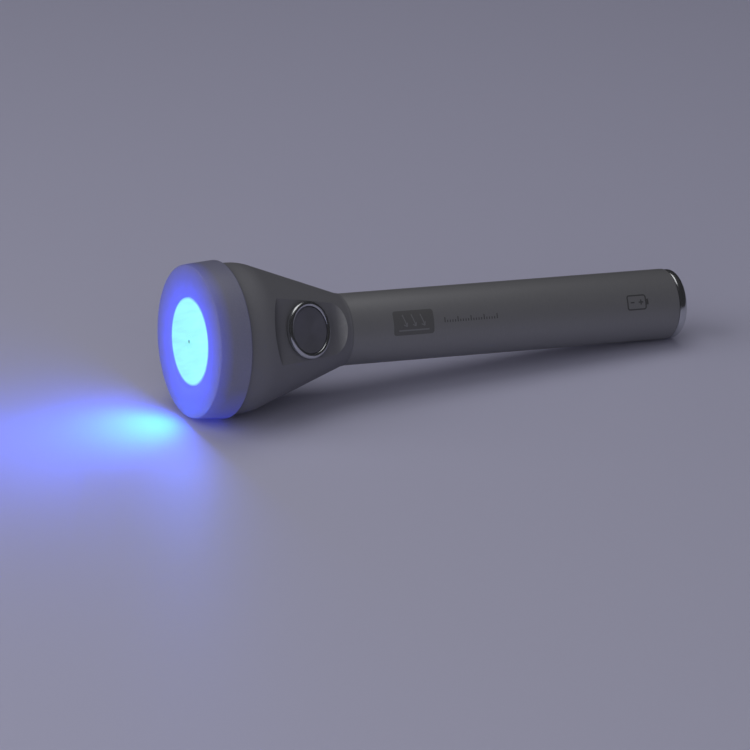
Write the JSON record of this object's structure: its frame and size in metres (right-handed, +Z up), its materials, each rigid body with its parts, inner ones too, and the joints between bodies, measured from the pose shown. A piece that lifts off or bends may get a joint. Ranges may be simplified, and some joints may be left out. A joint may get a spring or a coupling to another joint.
{
  "type": "uv curing lamp",
  "caption": "Torch-shaped battery lamp for curing resin and glue with ultraviolet light, with a frosted front ring, conical head, side push button, tubular grip and screwed tail cap.",
  "frame": {"origin": "centre of the bounding box's footprint, on the surface that the lamp lies on", "axes": "+Z up, +X towards the tail with the lamp's own axis dropping 4.85 degrees that way, -Y the side of the push button"},
  "size_m": [0.2291, 0.0654, 0.0652],
  "materials": {
    "ring_plastic": "satin",
    "lens_clear": "polished",
    "seal_rubber": "matte",
    "bowl_metal": "polished",
    "white_plastic": "satin",
    "led_ceramic": "satin",
    "led_silicone": "gloss",
    "board_solder_mask": "satin",
    "plain_steel": "satin",
    "sink_aluminium": "satin",
    "wire_insulation": "satin",
    "circuit_board": "satin",
    "circuit_parts": "satin",
    "head_coating": "matte",
    "tube_anodising": "satin",
    "bright_chrome": "polished",
    "button_steel": "satin",
    "black_plastic": "satin",
    "contact_brass": "satin",
    "cell_sleeve": "satin"
  },
  "bodies": {
    "lamp_body": {"front_ring": "ring_plastic", "window_lens": "lens_clear", "window_seal": "seal_rubber", "ring_seal": "seal_rubber", "tube_seal": "seal_rubber", "switch_seal": "seal_rubber", "reflector": "bowl_metal", "led_insulator": "white_plastic", "led_package": "led_ceramic", "led_dome": "led_silicone", "led_board": "board_solder_mask", "led_board_screws": "plain_steel", "button_spring": "plain_steel", "switch_nut": "plain_steel", "heat_sink": "sink_aluminium", "led_leads": "wire_insulation", "switch_leads": "wire_insulation", "driver_board": "circuit_board", "driver_components": "circuit_parts", "head_shell": "head_coating", "body_tube": "tube_anodising", "switch_housing": "bright_chrome", "switch_module": "black_plastic", "contact_carrier": "black_plastic", "switch_terminals": "contact_brass", "front_contact": "contact_brass", "front_cell": "cell_sleeve", "rear_cell": "cell_sleeve"},
    "button": {"button_cap": "button_steel"},
    "tail_contact": {"tail_spring": "plain_steel", "tail_contact_plate": "contact_brass"},
    "tail_cap": {"tail_cap": "bright_chrome", "tail_cap_seal": "seal_rubber"}
  },
  "joints": [
    {"name": "button_press", "type": "slide", "parent": "lamp_body", "child": "button", "axis": [-0.3712, 0.8682, -0.3294], "range_m": [0, 0.0012], "stiffness_N_per_m": 1500, "springref_m": -0.0008, "deforming": ["button_spring"]},
    {"name": "tail_cap_travel", "type": "slide", "parent": "lamp_body", "child": "tail_contact", "axis": [0.9964, 0, -0.0847], "range_m": [0, 0.009]},
    {"name": "tail_cap_turn", "type": "hinge", "parent": "tail_contact", "child": "tail_cap", "pos_m": [0.10978, 0, 0.01487], "axis": [0.9964, 0, -0.0847], "range_deg": [0, 2160]}
  ],
  "couplings": [
    {"joint": "tail_cap_turn", "follows": "tail_cap_travel", "rad_per_m": 4188.8}
  ]
}
